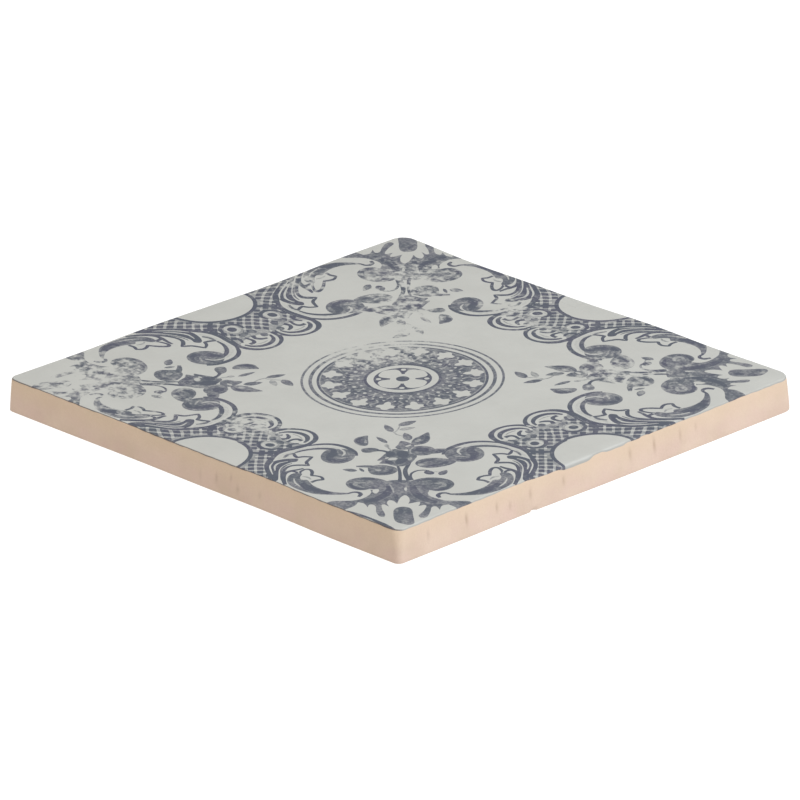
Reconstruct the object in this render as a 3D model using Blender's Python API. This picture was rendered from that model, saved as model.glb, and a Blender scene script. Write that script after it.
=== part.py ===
# A square glazed wall tile: one pressed and fired slab of pale clay, glazed on its upper face.
# The slab lies face up. The origin is at the centre of its underside, +Z is up, and each side
# faces along X or Y. Lengths are in metres. Sides go round anticlockwise, seen from above:
# near (-Y), right (+X), far (+Y), left (-X). Each corner is named with the side that ends in it.

import math

import bmesh
import bpy

# Driving dimensions
SIDE = 0.130
THICKNESS = 0.0080
FOOT_CORNER_RADII = (0.0016, 0.0044, 0.0038, 0.0023)
FACE_CORNER_RADII = (0.0026, 0.0044, 0.0038, 0.0023)
FOOT_BEVEL = 0.0004
ARRIS_RADIUS = 0.0005
FACE_FALL = 0.0001
FACE_FALL_WIDTH = 0.0030
INSET_CORNER_LOSS = 0.4

# The pressed sides wander. Each line says how far a side stands out from the true square at equal
# steps from its start to its end, in millimetres. A side's foot and its face edge each have their own
# line, so the side leans in, the right one most.
MM = 0.001
FOOT_LINES = (
    (1.50, 1.32, 1.00, 1.00, 0.80, 1.15, 1.05),
    (0.05, 0.10, -0.05, 0.48, 0.63, 0.73, 0.75),
    (1.40, 1.20, 1.45, 0.70, 0.50, 0.30, 1.40),
    (1.00, 1.00, 0.30, 0.60, 1.00, 0.70, 0.65),
)
FACE_LINES = (
    (0.70, 0.60, 0.35, 0.40, 0.10, 0.50, 0.40),
    (-0.80, -1.00, -0.85, -0.70, -0.50, -0.38, -0.40),
    (1.30, 0.95, 1.35, 0.47, 0.35, 0.13, 1.30),
    (0.80, 0.78, -0.01, 0.39, 0.81, 0.40, 0.65),
)
BELLY_HEIGHT = 0.0037
BELLY_LEAN_SHARE = 0.35
ARRIS_FOOT_LEAN_SHARE = 0.9

# The keyed back: shallow square pockets that the bedding mortar grips
POCKETS_PER_ROW = 8
POCKET_PITCH = 0.0142
POCKET_MOUTH = 0.0122
POCKET_DEPTH = 0.0005
POCKET_CORNER = 0.0014
POCKET_CUT_BELOW = 0.0005

# A small scooped nick in the right side's foot
NICK_Y = -0.0223
NICK_RADIUS = 0.00095
NICK_DEPTH = 0.00065
NICK_HEIGHT = 0.0009
NICK_ROUNDNESS = 2

POINTS_PER_SIDE = 40
POINTS_PER_CORNER = 6
ARRIS_STEPS = 4
SHARP_ANGLE = math.radians(35)
LEAST_UPWARD_SLOPE = 0.3


def clear_scene():
    for thing in list(bpy.data.objects):
        bpy.data.objects.remove(thing, do_unlink=True)


def make_material(name, colour, roughness):
    material = bpy.data.materials.new(name)
    material.use_nodes = True
    shader = material.node_tree.nodes["Principled BSDF"]
    shader.inputs["Base Color"].default_value = (*colour, 1.0)
    shader.inputs["Roughness"].default_value = roughness
    shader.inputs["Metallic"].default_value = 0.0
    return material


def make_object(name, mesh, *materials):
    thing = bpy.data.objects.new(name, mesh)
    bpy.context.scene.collection.objects.link(thing)
    for material in materials:
        mesh.materials.append(material)
    return thing


def stand_out(line, along):
    """How far a smooth line through equal steps stands out at a share of its length."""
    last = len(line) - 1
    step = min(int(along * last), last - 1)
    before, start, end, after = (line[min(max(step + k, 0), last)] for k in (-1, 0, 1, 2))
    t = along * last - step
    bend = 2 * before - 5 * start + 4 * end - after
    twist = 3 * start - before - 3 * end + after
    return MM * (2 * start + (end - before) * t + bend * t * t + twist * t ** 3) / 2


def outline(z, inset, lean_share):
    """The slab's outline at a height, set in by inset. Its share is 0 at the foot and 1 at the face. A
    corner keeps its foot radius up to the belly, and has its face radius from the arris up."""
    half = SIDE / 2 - inset
    growth = (lean_share - BELLY_LEAN_SHARE) / (ARRIS_FOOT_LEAN_SHARE - BELLY_LEAN_SHARE)
    growth = min(1.0, max(0.0, growth))
    loss = INSET_CORNER_LOSS * min(inset, ARRIS_RADIUS)
    radii = [
        foot + (face - foot) * growth - loss
        for foot, face in zip(FOOT_CORNER_RADII, FACE_CORNER_RADII)
    ]

    def reach(side, along):
        foot = stand_out(FOOT_LINES[side], along)
        return half + foot + (stand_out(FACE_LINES[side], along) - foot) * lean_share

    points = []
    for side in range(4):
        facing = (side - 1) * math.pi / 2
        out_x, out_y = round(math.cos(facing)), round(math.sin(facing))
        run_x, run_y = -out_y, out_x
        start = -reach(side - 1, 1.0) + radii[side - 1]
        end = reach((side + 1) % 4, 0.0) - radii[side]
        for step in range(POINTS_PER_SIDE + 1):
            along = step / POINTS_PER_SIDE
            out = reach(side, along)
            run = start + (end - start) * along
            points.append((out_x * out + run_x * run, out_y * out + run_y * run, z))
        centre_out = reach(side, 1.0) - radii[side]
        for step in range(1, POINTS_PER_CORNER):
            turn = math.pi / 2 * step / POINTS_PER_CORNER
            out = centre_out + radii[side] * math.cos(turn)
            run = end + radii[side] * math.sin(turn)
            points.append((out_x * out + run_x * run, out_y * out + run_y * run, z))
    return points


def slab_levels():
    """The slab's outlines from the underside up: foot bevel, leaning side, round arris, falling face edge."""
    edge_top = THICKNESS - FACE_FALL
    levels = [
        outline(0.0, FOOT_BEVEL, 0.0),
        outline(FOOT_BEVEL, 0.0, 0.0),
        outline(BELLY_HEIGHT, 0.0, BELLY_LEAN_SHARE),
        outline(edge_top - ARRIS_RADIUS, 0.0, ARRIS_FOOT_LEAN_SHARE),
    ]
    for step in range(1, ARRIS_STEPS + 1):
        turn = math.pi / 2 * step / ARRIS_STEPS
        z = edge_top - ARRIS_RADIUS * (1 - math.sin(turn))
        levels.append(outline(z, ARRIS_RADIUS * (1 - math.cos(turn)), 1.0))
    for share in (0.5, 1.0):
        z = edge_top + FACE_FALL * math.sin(math.pi / 2 * share)
        levels.append(outline(z, ARRIS_RADIUS + FACE_FALL_WIDTH * share, 1.0))
    return levels


def make_slab(biscuit, glaze):
    """The slab as outlines joined by bands of faces. Faces that look up carry the glaze."""
    shape = bmesh.new()
    rings = [[shape.verts.new(point) for point in level] for level in slab_levels()]
    count = len(rings[0])
    for low, high in zip(rings, rings[1:]):
        for i in range(count):
            j = (i + 1) % count
            shape.faces.new((low[i], low[j], high[j], high[i]))
    shape.faces.new(reversed(rings[0]))
    shape.faces.new(rings[-1])
    for face in shape.faces:
        face.normal_update()
        face.material_index = 1 if face.normal.z > LEAST_UPWARD_SLOPE else 0
    mesh = bpy.data.meshes.new("glazed_tile")
    shape.to_mesh(mesh)
    shape.free()
    mesh.shade_smooth()
    mesh.set_sharp_from_angle(angle=SHARP_ANGLE)
    return make_object("glazed_tile", mesh, biscuit, glaze)


def cut_square(x, y, z, half):
    """The corners of a square with its own corners cut off, anticlockwise."""
    near = half - POCKET_CORNER
    corners = (
        (half, -near), (half, near), (near, half), (-near, half),
        (-half, near), (-half, -near), (-near, -half), (near, -half),
    )
    return [(x + u, y + v, z) for u, v in corners]


def make_pocket_cutter():
    """All the pockets of the back in one mesh: each tapers towards its floor, and runs out below the slab."""
    shape = bmesh.new()
    first = -(POCKETS_PER_ROW - 1) / 2 * POCKET_PITCH
    for column in range(POCKETS_PER_ROW):
        for row in range(POCKETS_PER_ROW):
            x, y = first + column * POCKET_PITCH, first + row * POCKET_PITCH
            mouth = cut_square(x, y, -POCKET_CUT_BELOW, POCKET_MOUTH / 2 + POCKET_CUT_BELOW)
            floor = cut_square(x, y, POCKET_DEPTH, POCKET_MOUTH / 2 - POCKET_DEPTH)
            low = [shape.verts.new(point) for point in mouth]
            high = [shape.verts.new(point) for point in floor]
            for i, j in zip(range(8), (1, 2, 3, 4, 5, 6, 7, 0)):
                shape.faces.new((low[i], low[j], high[j], high[i]))
            shape.faces.new(reversed(low))
            shape.faces.new(high)
    return make_cutter("pocket_cutter", shape)


def make_nick_cutter():
    """A ball whose side reaches into the right side's foot and leaves a shell-shaped chip."""
    shape = bmesh.new()
    bmesh.ops.create_icosphere(shape, subdivisions=NICK_ROUNDNESS, radius=NICK_RADIUS)
    centre_x = SIDE / 2 + NICK_RADIUS - NICK_DEPTH
    centre_z = NICK_HEIGHT - NICK_RADIUS
    bmesh.ops.translate(shape, verts=shape.verts, vec=(centre_x, NICK_Y, centre_z))
    return make_cutter("nick_cutter", shape)


def make_cutter(name, shape):
    mesh = bpy.data.meshes.new(name)
    shape.to_mesh(mesh)
    shape.free()
    cutter = make_object(name, mesh)
    cutter.hide_render = True
    cutter.display_type = "WIRE"
    return cutter


def cut(thing, cutter):
    modifier = thing.modifiers.new(cutter.name, "BOOLEAN")
    modifier.operation = "DIFFERENCE"
    modifier.object = cutter


clear_scene()
biscuit = make_material("biscuit", colour=(0.76, 0.60, 0.47), roughness=0.9)
glaze = make_material("glaze", colour=(0.58, 0.59, 0.56), roughness=0.35)
tile = make_slab(biscuit, glaze)
cut(tile, make_pocket_cutter())
cut(tile, make_nick_cutter())
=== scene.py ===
import functools
import math

import bmesh
import bpy
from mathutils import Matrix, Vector
from mathutils.geometry import delaunay_2d_cdt


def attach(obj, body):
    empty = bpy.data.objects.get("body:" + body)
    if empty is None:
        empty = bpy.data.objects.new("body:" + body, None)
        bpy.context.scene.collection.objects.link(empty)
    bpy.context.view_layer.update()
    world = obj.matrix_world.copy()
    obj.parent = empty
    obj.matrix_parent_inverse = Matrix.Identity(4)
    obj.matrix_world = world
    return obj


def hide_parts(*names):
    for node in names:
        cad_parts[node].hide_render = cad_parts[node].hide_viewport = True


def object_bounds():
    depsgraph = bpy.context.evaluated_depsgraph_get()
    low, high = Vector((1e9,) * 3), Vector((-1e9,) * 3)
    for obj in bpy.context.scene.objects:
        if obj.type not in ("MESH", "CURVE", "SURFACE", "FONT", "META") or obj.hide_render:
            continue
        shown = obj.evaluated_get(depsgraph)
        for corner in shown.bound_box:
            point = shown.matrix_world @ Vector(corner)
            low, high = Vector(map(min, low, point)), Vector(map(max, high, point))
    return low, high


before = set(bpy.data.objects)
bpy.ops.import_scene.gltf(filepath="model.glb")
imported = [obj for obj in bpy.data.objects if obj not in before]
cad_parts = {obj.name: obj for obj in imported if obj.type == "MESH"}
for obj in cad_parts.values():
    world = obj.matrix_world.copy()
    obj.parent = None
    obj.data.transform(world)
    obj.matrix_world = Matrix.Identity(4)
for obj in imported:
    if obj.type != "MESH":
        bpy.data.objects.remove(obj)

cad_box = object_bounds()

# Clay slab. The body of the tile is one slab of pale buff clay, pressed in a die and fired. Its sides
# are bare clay: they lean in towards the face and wander by a millimetre or so. The glaze lies on top
# of it as a coat of its own.
MM = 0.001
SIDE = 0.130
THICKNESS = cad_box[1].z - cad_box[0].z
FOOT_CORNER_RADII = (0.0016, 0.0044, 0.0038, 0.0023)
FACE_CORNER_RADII = (0.0026, 0.0044, 0.0038, 0.0023)
FOOT_BEVEL = 0.0004
ARRIS_RADIUS = 0.0005
FACE_FALL = 0.0001
FACE_FALL_WIDTH = 0.0030
EDGE_TOP = THICKNESS - FACE_FALL
NEAR, RIGHT, FAR, LEFT = range(4)

# How far each side stands out from the true square at equal steps along it, in millimetres: its foot,
# and its edge at the face
FOOT_LINES = (
    (1.50, 1.32, 1.00, 1.00, 0.80, 1.15, 1.05),
    (0.05, 0.10, -0.05, 0.48, 0.63, 0.73, 0.75),
    (1.40, 1.20, 1.45, 0.70, 0.50, 0.30, 1.40),
    (1.00, 1.00, 0.30, 0.60, 1.00, 0.70, 0.65),
)
FACE_LINES = (
    (0.70, 0.60, 0.35, 0.40, 0.10, 0.50, 0.40),
    (-0.80, -1.00, -0.85, -0.70, -0.50, -0.38, -0.40),
    (1.30, 0.95, 1.35, 0.47, 0.35, 0.13, 1.30),
    (0.80, 0.78, -0.01, 0.39, 0.81, 0.40, 0.65),
)

# How much of its lean a side has at its belly and at the foot of its arris
BELLY_HEIGHT = 0.0037
BELLY_LEAN_SHARE = 0.35
ARRIS_FOOT_LEAN_SHARE = 0.9

# How far the clay's face and arris lie under the glaze, and how finely the slab is meshed
CLAY_DROP = 0.00004
SIDE_STEPS = 360
CORNER_STEPS = 10
RIM_STEPS = 3
WALL_STEPS = 16
ARRIS_STEPS = 5
SLAB_SHARP_ANGLE = math.radians(35)

# Drag marks that the die left in the sides: side, place along it, height above the foot, half length,
# half width, depth
DRAG_MARKS = (
    (RIGHT, -0.0563, 0.0043, 0.0012, 0.00040, 0.00008),
    (RIGHT, -0.0438, 0.0043, 0.0013, 0.00042, 0.00016),
    (RIGHT, -0.0340, 0.0043, 0.0011, 0.00040, 0.00013),
    (RIGHT, -0.0298, 0.0034, 0.0010, 0.00040, 0.00009),
    (RIGHT, -0.0230, 0.0043, 0.0012, 0.00045, 0.00011),
    (RIGHT, -0.0122, 0.0044, 0.0010, 0.00040, 0.00012),
    (RIGHT, 0.0097, 0.0046, 0.0014, 0.00045, 0.00011),
    (RIGHT, 0.0178, 0.0045, 0.0016, 0.00045, 0.00015),
    (RIGHT, 0.0265, 0.0045, 0.0014, 0.00042, 0.00010),
    (RIGHT, 0.0318, 0.0050, 0.0010, 0.00038, 0.00007),
    (NEAR, 0.0002, 0.0028, 0.0014, 0.00040, 0.00005),
    (NEAR, 0.0054, 0.0035, 0.0012, 0.00036, 0.00011),
    (NEAR, 0.0101, 0.0048, 0.0009, 0.00034, 0.00009),
    (NEAR, 0.0124, 0.0026, 0.0010, 0.00050, 0.00009),
    (NEAR, 0.0196, 0.0032, 0.0010, 0.00060, 0.00006),
    (FAR, 0.0210, 0.0047, 0.0012, 0.00040, 0.00011),
    (FAR, -0.0330, 0.0043, 0.0013, 0.00042, 0.00010),
    (LEFT, 0.0150, 0.0050, 0.0012, 0.00040, 0.00012),
    (LEFT, -0.0405, 0.0045, 0.0014, 0.00042, 0.00011),
)
DEEPEST_DRAG = max(depth for *_, depth in DRAG_MARKS)

# The small scooped nick in the right side's foot
NICK_Y = -0.0223
NICK_RADIUS = 0.00095
NICK_DEPTH = 0.00065
NICK_HEIGHT = 0.0009

# Both lie on the straight stretch of a side, where a point's way out is the side's own
SAME_WAY = 0.99


def facing(side):
    """The way out of a side, and the way along it, anticlockwise."""
    angle = (side - 1) * math.pi / 2
    out = Vector((round(math.cos(angle)), round(math.sin(angle))))
    return out, Vector((-out.y, out.x))


def smooth_step(low, high, value):
    share = min(1.0, max(0.0, (value - low) / (high - low)))
    return share * share * (3 - 2 * share)


@functools.lru_cache(maxsize=None)
def stand_out(lines, side, along):
    """How far a side's smooth line stands out at a share of its length."""
    line = lines[side % 4]
    last = len(line) - 1
    step = min(int(along * last), last - 1)
    before, start, end, after = (line[min(max(step + k, 0), last)] for k in (-1, 0, 1, 2))
    t = along * last - step
    bend = 2 * before - 5 * start + 4 * end - after
    twist = 3 * start - before - 3 * end + after
    return MM * (2 * start + (end - before) * t + bend * t * t + twist * t ** 3) / 2


def reach(side, along, share):
    """How far out a side is: on its foot line at share 0, on its face line at share 1."""
    foot = stand_out(FOOT_LINES, side, along)
    return SIDE / 2 + foot + (stand_out(FACE_LINES, side, along) - foot) * share


def corner_radius(side, share):
    """The radius of the corner that a side ends in: the foot's up to the belly, the face's at the arris."""
    growth = (share - BELLY_LEAN_SHARE) / (ARRIS_FOOT_LEAN_SHARE - BELLY_LEAN_SHARE)
    growth = min(1.0, max(0.0, growth))
    return FOOT_CORNER_RADII[side] + (FACE_CORNER_RADII[side] - FOOT_CORNER_RADII[side]) * growth


@functools.lru_cache(maxsize=None)
def straight(side, share):
    """Where a side's straight stretch starts and ends between its round corners."""
    start = corner_radius(side - 1, share) - reach(side - 1, 1.0, share)
    end = reach(side + 1, 0.0, share) - corner_radius(side, share)
    return start, end


def lean_share(z):
    """How much of its lean a side has at a height."""
    arris_foot = EDGE_TOP - ARRIS_RADIUS
    if z < BELLY_HEIGHT:
        return BELLY_LEAN_SHARE * max(0.0, z - FOOT_BEVEL) / (BELLY_HEIGHT - FOOT_BEVEL)
    if z < arris_foot:
        rise = (z - BELLY_HEIGHT) / (arris_foot - BELLY_HEIGHT)
        return BELLY_LEAN_SHARE + (ARRIS_FOOT_LEAN_SHARE - BELLY_LEAN_SHARE) * rise
    return ARRIS_FOOT_LEAN_SHARE + (1 - ARRIS_FOOT_LEAN_SHARE) * min(1.0, (z - arris_foot) / ARRIS_RADIUS)


def rim(inset, share, side_steps=SIDE_STEPS, corner_steps=CORNER_STEPS):
    """Points round the slab, set in from its sides, each with its way out."""
    points = []
    for side in range(4):
        out, run = facing(side)
        start, end = straight(side, share)
        for step in range(side_steps + 1):
            along = step / side_steps
            place = out * (reach(side, along, share) - inset) + run * (start + (end - start) * along)
            points.append((place, out))
        radius = corner_radius(side, share)
        centre = out * (reach(side, 1.0, share) - radius) + run * end
        for step in range(1, corner_steps):
            turn = math.pi / 2 * step / corner_steps
            way = out * math.cos(turn) + run * math.sin(turn)
            points.append((centre + way * (radius - inset), way))
    return points


def dragged(place, out, z):
    """How deep a drag mark is at a point of a side."""
    depth = 0.0
    for side, middle, height, length, width, deep in DRAG_MARKS:
        way, run = facing(side)
        if way.dot(out) < SAME_WAY:
            continue
        across = (run.dot(place) - middle) / width
        up = (z - height) / length
        depth += deep * math.exp(-across * across - up * up)
    return depth


def nicked(place, out, z):
    """How deep the nick in the right side's foot is at a point."""
    off = math.hypot(place.y - NICK_Y, z + NICK_RADIUS - NICK_HEIGHT)
    if out.x < SAME_WAY or off > NICK_RADIUS:
        return 0.0
    return max(0.0, NICK_DEPTH - NICK_RADIUS + math.sqrt(NICK_RADIUS ** 2 - off ** 2))


def clay_levels():
    """The slab's heights, each with how far it is set in: from the underside, which lies a bevel's height
    above the foot's sharp rim, down to that rim, and from there up to the face."""
    levels = []
    for step in range(RIM_STEPS + 1):
        rise = FOOT_BEVEL * (1 - math.sin(math.pi / 2 * step / RIM_STEPS))
        levels.append((rise, rise))
    arris_foot = EDGE_TOP - ARRIS_RADIUS
    for step in range(1, WALL_STEPS + 1):
        levels.append((FOOT_BEVEL + (arris_foot - FOOT_BEVEL) * step / WALL_STEPS, 0.0))
    for step in range(1, ARRIS_STEPS + 1):
        turn = math.pi / 2 * step / ARRIS_STEPS
        z = arris_foot + (ARRIS_RADIUS - CLAY_DROP) * math.sin(turn)
        levels.append((z, ARRIS_RADIUS * (1 - math.cos(turn)) + CLAY_DROP))
    return levels


def press_clay():
    """The bare slab: rings of points joined by bands of faces, each point with how far a mark drags it."""
    shape = bmesh.new()
    drag_layer = shape.verts.layers.float.new("drag")
    rings = []
    for z, inset in clay_levels():
        ring = []
        for place, out in rim(inset, lean_share(z)):
            drag = dragged(place, out, z)
            place -= out * (drag + nicked(place, out, z))
            ring.append(shape.verts.new((*place, z)))
            ring[-1][drag_layer] = drag / DEEPEST_DRAG
        rings.append(ring)
    count = len(rings[0])
    for low, high in zip(rings, rings[1:]):
        for i in range(count):
            j = (i + 1) % count
            shape.faces.new((low[i], low[j], high[j], high[i]))
    shape.faces.new(reversed(rings[0]))
    shape.faces.new(rings[-1])
    mesh = bpy.data.meshes.new("clay_slab")
    shape.to_mesh(mesh)
    shape.free()
    piece = bpy.data.objects.new("clay_slab", mesh)
    bpy.context.scene.collection.objects.link(piece)
    return piece


class Wire:
    """A shader socket that takes part in sums as a number does."""

    def __init__(self, finish, socket):
        self.finish = finish
        self.socket = socket

    def math(self, operation, *others):
        inputs = dict(enumerate((self, *others)))
        return self.finish.node("ShaderNodeMath", {"operation": operation}, inputs)

    def __add__(self, other):
        return self.math("ADD", other)

    def __sub__(self, other):
        return self.math("SUBTRACT", other)

    def __mul__(self, other):
        return self.math("MULTIPLY", other)

    def __rsub__(self, other):
        return (self * -1.0).math("ADD", other)

    __radd__ = __add__
    __rmul__ = __mul__


class Finish:
    """A material whose nodes are added one call at a time."""

    def __init__(self, name):
        self.material = bpy.data.materials.new(name)
        self.material.use_nodes = True
        self.tree = self.material.node_tree
        self.shader = self.tree.nodes["Principled BSDF"]
        place = self.node("ShaderNodeTexCoord", output="Object")
        scaled = {0: place, "Scale": 1 / MM}
        self.millimetres = self.node("ShaderNodeVectorMath", {"operation": "SCALE"}, scaled)

    def node(self, kind, settings=None, inputs=None, output=0):
        node = self.tree.nodes.new(kind)
        for name, value in (settings or {}).items():
            setattr(node, name, value)
        for name, value in (inputs or {}).items():
            self.put(node.inputs[name], value)
        return Wire(self, node.outputs[output])

    def put(self, socket, value):
        if isinstance(value, Wire):
            self.tree.links.new(value.socket, socket)
        else:
            socket.default_value = value

    def noise(self, size, detail=2.0, roughness=0.5, offset=0.0):
        """Soft noise of a size in millimetres, spread to about 0 to 1."""
        moved = {"Vector": self.millimetres, "Location": (offset, offset, offset)}
        place = self.node("ShaderNodeMapping", inputs=moved)
        noise = self.node(
            "ShaderNodeTexNoise",
            inputs={"Vector": place, "Scale": 1.0 / size, "Detail": detail, "Roughness": roughness},
        )
        return self.ramp(noise, 0.3, 0.7)

    def ramp(self, value, low, high):
        return self.node(
            "ShaderNodeMapRange",
            {"interpolation_type": "SMOOTHSTEP"},
            {"Value": value, "From Min": low, "From Max": high},
        )

    def mix(self, share, first, second):
        inputs = {0: share, 6: first, 7: second}
        return self.node("ShaderNodeMix", {"data_type": "RGBA"}, inputs, output=2)

    def bump(self, height, distance):
        inputs = {"Height": height, "Distance": distance, "Strength": 1.0}
        return self.node("ShaderNodeBump", inputs=inputs, output="Normal")

    def set(self, **values):
        for name, value in values.items():
            self.put(self.shader.inputs[name.replace("_", " ")], value)
        return self.material


def colour(red, green, blue):
    """A colour as it looks, 0 to 255, in the linear values that a shader takes."""
    def linear(value):
        value /= 255
        return value / 12.92 if value < 0.04045 else ((value + 0.055) / 1.055) ** 2.4
    return (linear(red), linear(green), linear(blue), 1.0)


def clay_finish():
    """Matt peach clay, softly clouded with pink and yellower towards the face, with painted shade in the
    drag marks and along the foot.
    """
    finish = Finish("bare_clay")
    clouds = finish.noise(9.0, detail=2.0)
    pinks = finish.noise(6.0, detail=2.0, offset=43.0)
    grains = finish.noise(0.5, detail=3.0, offset=7.0)
    drag = finish.node("ShaderNodeAttribute", {"attribute_name": "drag"}, output="Fac")
    height = finish.node("ShaderNodeSeparateXYZ", inputs={0: finish.millimetres}, output="Z")
    upper = finish.ramp(height, 1.5, 7.5)
    foot = 1.0 - finish.ramp(height, 0.1, 0.7)
    tint = finish.mix(clouds, colour(213, 192, 175), colour(204, 183, 165))
    tint = finish.mix(pinks * 0.45, tint, colour(210, 183, 174))
    tint = finish.mix(upper * 0.6, tint, colour(214, 193, 167))
    tint = finish.mix(grains * 0.10, tint, colour(187, 161, 141))
    # Painted shade in the drag marks: the clay darkens with each mark's depth.
    tint = finish.mix(drag * 0.75, tint, colour(174, 150, 131))
    # Painted shade along the foot: the clay darkens in its lowest 0.7 mm, where it meets the floor.
    tint = finish.mix(foot * 0.12, tint, colour(165, 150, 135))
    return finish.set(
        Base_Color=tint,
        Roughness=0.88 + grains * 0.06,
        Normal=finish.bump(grains, 0.00002),
    )


PLUG_WELD = 0.000001


def add_keyed_back(piece, material):
    """Cuts rows of shallow pockets into the back, which grip the bedding mortar. Each is cut by a tapered
    plug that reaches as far below the foot as the depth says, and as far above it."""
    tree = bpy.data.node_groups.new("keyed_back", "GeometryNodeTree")
    face = tree.interface
    face.new_socket("Geometry", in_out="INPUT", socket_type="NodeSocketGeometry")
    face.new_socket("Geometry", in_out="OUTPUT", socket_type="NodeSocketGeometry")
    sizes = {
        "Pockets in a row": ("NodeSocketInt", 8),
        "Pitch": ("NodeSocketFloat", 0.0142),
        "Mouth": ("NodeSocketFloat", 0.0122),
        "Depth": ("NodeSocketFloat", 0.0005),
        "Corner": ("NodeSocketFloat", 0.0014),
    }
    idents = {
        name: face.new_socket(name, in_out="INPUT", socket_type=kind).identifier
        for name, (kind, _) in sizes.items()
    }
    clay = face.new_socket("Clay", in_out="INPUT", socket_type="NodeSocketMaterial").identifier

    def node(kind, settings=None, inputs=None):
        made = tree.nodes.new(kind)
        for name, value in (settings or {}).items():
            setattr(made, name, value)
        for name, value in (inputs or {}).items():
            if isinstance(value, bpy.types.NodeSocket):
                tree.links.new(value, made.inputs[name])
            else:
                made.inputs[name].default_value = value
        return made

    def number(operation, *values):
        return node("ShaderNodeMath", {"operation": operation}, dict(enumerate(values))).outputs[0]

    given = node("NodeGroupInput").outputs
    gaps = number("SUBTRACT", given["Pockets in a row"], 1.0)
    span = number("MULTIPLY", given["Pitch"], gaps)
    spots = node("GeometryNodeMeshGrid", None, {
        "Size X": span, "Size Y": span,
        "Vertices X": given["Pockets in a row"], "Vertices Y": given["Pockets in a row"],
    })
    mouth = number("ADD", given["Mouth"], number("MULTIPLY", given["Depth"], 2.0))
    square = node("GeometryNodeCurvePrimitiveQuadrilateral", None, {"Width": mouth, "Height": mouth})
    corners = {"Curve": square.outputs[0], "Radius": given["Corner"], "Count": 1}
    cut = node("GeometryNodeFilletCurve", {"mode": "POLY"}, corners)
    sheet = node("GeometryNodeFillCurve", {"mode": "NGONS"}, {"Curve": cut.outputs[0]})
    deep = number("MULTIPLY", given["Depth"], 2.0)
    up = node("ShaderNodeCombineXYZ", None, {"Z": 1.0}).outputs[0]
    raised = node("GeometryNodeExtrudeMesh", None, {
        "Mesh": sheet.outputs[0], "Offset": up, "Offset Scale": deep,
    })
    taper = number("SUBTRACT", 1.0, number("DIVIDE", number("MULTIPLY", given["Depth"], 4.0), mouth))
    tapered = node("GeometryNodeScaleElements", None, {
        "Geometry": raised.outputs["Mesh"], "Selection": raised.outputs["Top"], "Scale": taper,
    })
    under = node("GeometryNodeFlipFaces", None, {"Mesh": sheet.outputs[0]})
    joined = node("GeometryNodeJoinGeometry")
    tree.links.new(tapered.outputs[0], joined.inputs[0])
    tree.links.new(under.outputs[0], joined.inputs[0])
    plug = node("GeometryNodeMergeByDistance", None, {
        "Geometry": joined.outputs[0], "Distance": PLUG_WELD,
    })
    sunk = node("ShaderNodeCombineXYZ", None, {"Z": number("MULTIPLY", given["Depth"], -1.0)}).outputs[0]
    low = node("GeometryNodeTransform", None, {"Geometry": plug.outputs[0], "Translation": sunk})
    plugs = node("GeometryNodeInstanceOnPoints", None, {
        "Points": spots.outputs["Mesh"], "Instance": low.outputs[0],
    })
    real = node("GeometryNodeRealizeInstances", None, {"Geometry": plugs.outputs[0]})
    pocketed = node("GeometryNodeMeshBoolean", {"operation": "DIFFERENCE", "solver": "EXACT"}, {
        "Mesh 1": given["Geometry"], "Mesh 2": real.outputs[0],
    })
    whole = node("GeometryNodeRealizeInstances", None, {"Geometry": pocketed.outputs["Mesh"]})
    clad = node("GeometryNodeSetMaterial", None, {"Geometry": whole.outputs[0], "Material": given["Clay"]})
    node("NodeGroupOutput", None, {0: clad.outputs[0]})

    modifier = piece.modifiers.new("keyed_back", "NODES")
    modifier.node_group = tree
    for name, (_, value) in sizes.items():
        modifier[idents[name]] = value
    modifier[clay] = material
    settled(piece)


def settled(piece):
    """Makes a piece's evaluated shape its own plain mesh and takes its modifiers off."""
    graph = bpy.context.evaluated_depsgraph_get()
    mesh = bpy.data.meshes.new_from_object(piece.evaluated_get(graph), depsgraph=graph)
    piece.modifiers.clear()
    old = piece.data
    piece.data = mesh
    bpy.data.meshes.remove(old)


bare_clay = clay_finish()
slab = press_clay()
add_keyed_back(slab, bare_clay)
slab.data.shade_smooth()
slab.data.set_sharp_from_angle(angle=SLAB_SHARP_ANGLE)
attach(slab, "root")
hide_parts("glazed_tile")

# Printed ornament. One print covers the face: a rosette in the middle, and round it, four times over, a
# spray, a dark corner and scrolls that meet in a lattice at each side. Its lengths are millimetres, and
# each shape is an outline with how much ink it holds.
POINT_STEP = 0.45
LINE_WEIGHT = 0.85
DARK, MID, SOFT, PALE, BARE = 1.0, 0.80, 0.55, 0.28, 0.0


def curve(points, closed=False):
    """A smooth line through points. A point given twice is a corner."""
    points = list(points)
    if closed:
        spots = [points[-1], *points, points[0], points[1]]
    else:
        spots = [points[0], *points, points[-1]]
    line = []
    for a, b, c, d in zip(spots, spots[1:], spots[2:], spots[3:]):
        length = math.dist(b, c)
        if length < 1e-6:
            continue
        steps = max(1, round(length / POINT_STEP))
        for step in range(steps):
            t = step / steps
            line.append(tuple(
                v + (w - u) * t / 2
                + (2 * u - 5 * v + 4 * w - x) * t * t / 2
                + (3 * v - u - 3 * w + x) * t ** 3 / 2
                for u, v, w, x in zip(a, b, c, d)
            ))
    if not closed:
        line.append(tuple(points[-1]))
    return line


def blob(*points):
    return curve(points, closed=True)


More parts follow.
